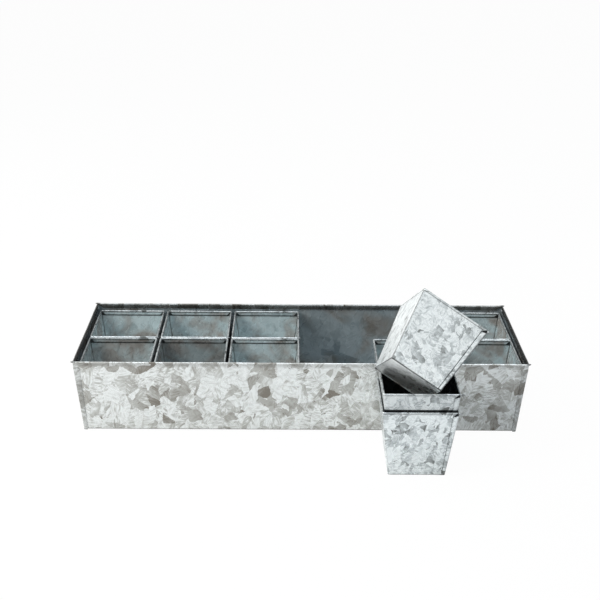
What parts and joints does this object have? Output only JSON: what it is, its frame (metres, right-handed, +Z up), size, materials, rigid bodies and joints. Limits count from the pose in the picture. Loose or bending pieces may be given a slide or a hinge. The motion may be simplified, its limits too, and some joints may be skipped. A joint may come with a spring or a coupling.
{
  "type": "indoor herb planter",
  "caption": "Long tapered galvanised sheet-metal tray with rows of square tapered lift-out herb pots, some set out nested and leaning in front of it.",
  "frame": {"origin": "on the surface that the tray stands on, under the middle of its base", "axes": "+X along the tray, +Y from the set-out pots to the tray's back, +Z up"},
  "size_m": [0.4776, 0.2573, 0.188],
  "materials": {
    "tray_steel": "hot-dip galvanised sheet with zinc flake pattern, satin",
    "pot_steel": "hot-dip galvanised sheet with zinc flake pattern, satin"
  },
  "bodies": {
    "tray": {"tray_trough": "tray_steel", "tray_left_end": "tray_steel", "tray_right_end": "tray_steel"},
    "front_pot_1": {"front_pot_1_sleeve": "pot_steel", "front_pot_1_base": "pot_steel"},
    "front_pot_2": {"front_pot_2_sleeve": "pot_steel", "front_pot_2_base": "pot_steel"},
    "front_pot_3": {"front_pot_3_sleeve": "pot_steel", "front_pot_3_base": "pot_steel"},
    "front_pot_5": {"front_pot_5_sleeve": "pot_steel", "front_pot_5_base": "pot_steel"},
    "front_pot_6": {"front_pot_6_sleeve": "pot_steel", "front_pot_6_base": "pot_steel"},
    "rear_pot_1": {"rear_pot_1_sleeve": "pot_steel", "rear_pot_1_base": "pot_steel"},
    "rear_pot_2": {"rear_pot_2_sleeve": "pot_steel", "rear_pot_2_base": "pot_steel"},
    "rear_pot_3": {"rear_pot_3_sleeve": "pot_steel", "rear_pot_3_base": "pot_steel"},
    "rear_pot_6": {"rear_pot_6_sleeve": "pot_steel", "rear_pot_6_base": "pot_steel"},
    "standing_pot": {"standing_pot_sleeve": "pot_steel", "standing_pot_base": "pot_steel"},
    "nested_pot": {"nested_pot_sleeve": "pot_steel", "nested_pot_base": "pot_steel"},
    "leaning_pot": {"leaning_pot_sleeve": "pot_steel", "leaning_pot_base": "pot_steel"}
  },
  "joints": [
    {"name": "front_pot_1_lift", "type": "slide", "parent": "tray", "child": "front_pot_1", "axis": [0, 0, 1], "range_m": [0, 0.09]},
    {"name": "front_pot_2_lift", "type": "slide", "parent": "tray", "child": "front_pot_2", "axis": [0, 0, 1], "range_m": [0, 0.09]},
    {"name": "front_pot_3_lift", "type": "slide", "parent": "tray", "child": "front_pot_3", "axis": [0, 0, 1], "range_m": [0, 0.09]},
    {"name": "front_pot_5_lift", "type": "slide", "parent": "tray", "child": "front_pot_5", "axis": [0, 0.2079, 0.9781], "range_m": [0, 0.09]},
    {"name": "front_pot_6_lift", "type": "slide", "parent": "tray", "child": "front_pot_6", "axis": [0, 0, 1], "range_m": [0, 0.09]},
    {"name": "rear_pot_1_lift", "type": "slide", "parent": "tray", "child": "rear_pot_1", "axis": [0, 0, 1], "range_m": [0, 0.09]},
    {"name": "rear_pot_2_lift", "type": "slide", "parent": "tray", "child": "rear_pot_2", "axis": [0, 0, 1], "range_m": [0, 0.09]},
    {"name": "rear_pot_3_lift", "type": "slide", "parent": "tray", "child": "rear_pot_3", "axis": [0, 0, 1], "range_m": [0, 0.09]},
    {"name": "rear_pot_6_lift", "type": "slide", "parent": "tray", "child": "rear_pot_6", "axis": [0, 0, 1], "range_m": [0, 0.09]},
    {"name": "standing_pot_lift", "type": "slide", "parent": "tray", "child": "standing_pot", "axis": [0, 0, 1], "range_m": [0, 0.09]},
    {"name": "nested_pot_lift", "type": "slide", "parent": "standing_pot", "child": "nested_pot", "axis": [0, 0, 1], "range_m": [0, 0.065]},
    {"name": "leaning_pot_lift", "type": "slide", "parent": "nested_pot", "child": "leaning_pot", "axis": [0, 0, 1], "range_m": [0, 0.04]}
  ]
}
